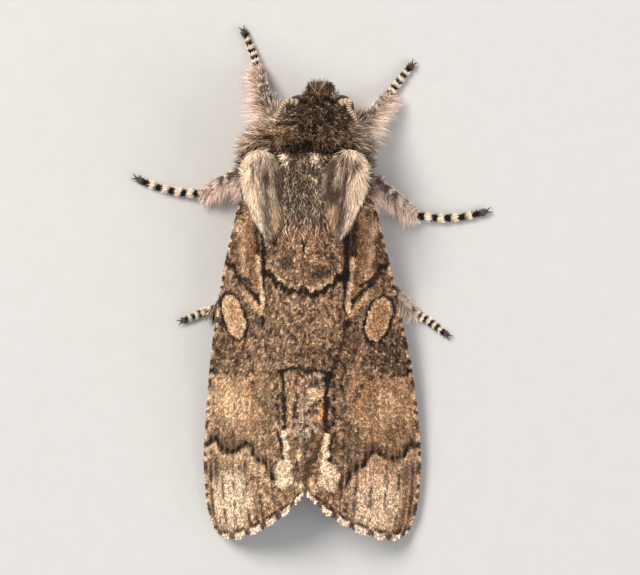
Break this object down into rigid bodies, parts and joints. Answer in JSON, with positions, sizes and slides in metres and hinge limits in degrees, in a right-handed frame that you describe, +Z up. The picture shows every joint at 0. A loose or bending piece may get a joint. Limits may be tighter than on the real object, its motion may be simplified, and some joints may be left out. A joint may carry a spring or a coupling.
{
  "type": "moth",
  "caption": "Stout furry owlet moth standing with roofed, patterned wings folded over its back and banded feet spread to the sides.",
  "frame": {"origin": "floor level under the centre of the bounding box", "axes": "+Z up, the head points to -Y, the moth's left side is +X"},
  "size_m": [0.0178, 0.0256, 0.0065],
  "materials": {
    "furry_body": "dark grey-brown fur with tan tips",
    "pale_flap": "pale greyish-cream scales and hair",
    "wing_scales": "dusty scales, grey-brown with cream, ochre and black marks",
    "hindwing_scales": "dusty scales, plain grey-brown",
    "leg_scales": "scales banded black and cream",
    "eye_surface": "glossy dark eye"
  },
  "bodies": {
    "root": {"abdomen": "furry_body", "antenna_left": "leg_scales", "antenna_right": "leg_scales", "collar": "furry_body", "eye_left": "eye_surface", "eye_right": "eye_surface", "fore_leg_left": "leg_scales", "fore_leg_right": "leg_scales", "forewing_left": "wing_scales", "forewing_right": "wing_scales", "head": "furry_body", "hind_leg_left": "leg_scales", "hind_leg_right": "leg_scales", "hindwing_left": "hindwing_scales", "hindwing_right": "hindwing_scales", "mid_leg_left": "leg_scales", "mid_leg_right": "leg_scales", "palp_left": "furry_body", "palp_right": "furry_body", "tegula_left": "pale_flap", "tegula_right": "pale_flap", "thorax": "furry_body"}
  },
  "joints": []
}
